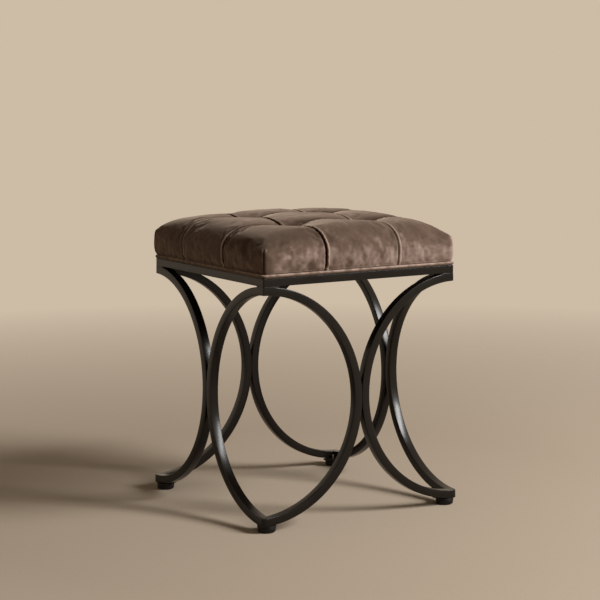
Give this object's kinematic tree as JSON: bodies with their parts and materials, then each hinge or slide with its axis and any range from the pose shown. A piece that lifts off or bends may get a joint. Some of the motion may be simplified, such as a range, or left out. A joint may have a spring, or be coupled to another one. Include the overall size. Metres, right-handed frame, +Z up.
{
  "type": "vanity stool",
  "caption": "Square vanity stool: seat tufted in pillows of mushroom-brown velvet with a welt, on a welded base of dark steel half rings with round glides.",
  "frame": {"origin": "on the floor, under the middle of the square footprint", "axes": "+Z up; the front of the stool faces -Y; all four sides are alike"},
  "size_m": [0.3956, 0.3956, 0.505],
  "materials": {
    "frame_steel": "satin black-brown powder coat",
    "glide": "moulded black nylon",
    "zinc_steel": "zinc plated",
    "plywood": "raw birch plywood",
    "dust_cover": "black non-woven cloth",
    "foam": "open-cell foam",
    "velvet": "crushed short-pile velvet, mushroom brown",
    "welt": "velvet-covered piping cord"
  },
  "bodies": {
    "root": {"rail_front": "frame_steel", "curved_bar_front_left": "frame_steel", "curved_bar_front_right": "frame_steel", "corner_plate_front_left": "frame_steel", "foot_plate_front_left": "frame_steel", "glide_front_left": "glide", "glide_screw_front_left": "zinc_steel", "seat_screw_front_left": "zinc_steel", "seat_nut_front_left": "zinc_steel", "rail_right": "frame_steel", "curved_bar_right_front": "frame_steel", "curved_bar_right_back": "frame_steel", "corner_plate_right_front": "frame_steel", "foot_plate_right_front": "frame_steel", "glide_right_front": "glide", "glide_screw_right_front": "zinc_steel", "seat_screw_right_front": "zinc_steel", "seat_nut_right_front": "zinc_steel", "rail_back": "frame_steel", "curved_bar_back_right": "frame_steel", "curved_bar_back_left": "frame_steel", "corner_plate_back_right": "frame_steel", "foot_plate_back_right": "frame_steel", "glide_back_right": "glide", "glide_screw_back_right": "zinc_steel", "seat_screw_back_right": "zinc_steel", "seat_nut_back_right": "zinc_steel", "rail_left": "frame_steel", "curved_bar_left_back": "frame_steel", "curved_bar_left_front": "frame_steel", "corner_plate_left_back": "frame_steel", "foot_plate_left_back": "frame_steel", "glide_left_back": "glide", "glide_screw_left_back": "zinc_steel", "seat_screw_left_back": "zinc_steel", "seat_nut_left_back": "zinc_steel", "seat_board": "plywood", "dust_cover": "dust_cover", "foam_pad": "foam", "cushion_cover": "velvet", "welt": "welt"}
  },
  "joints": []
}
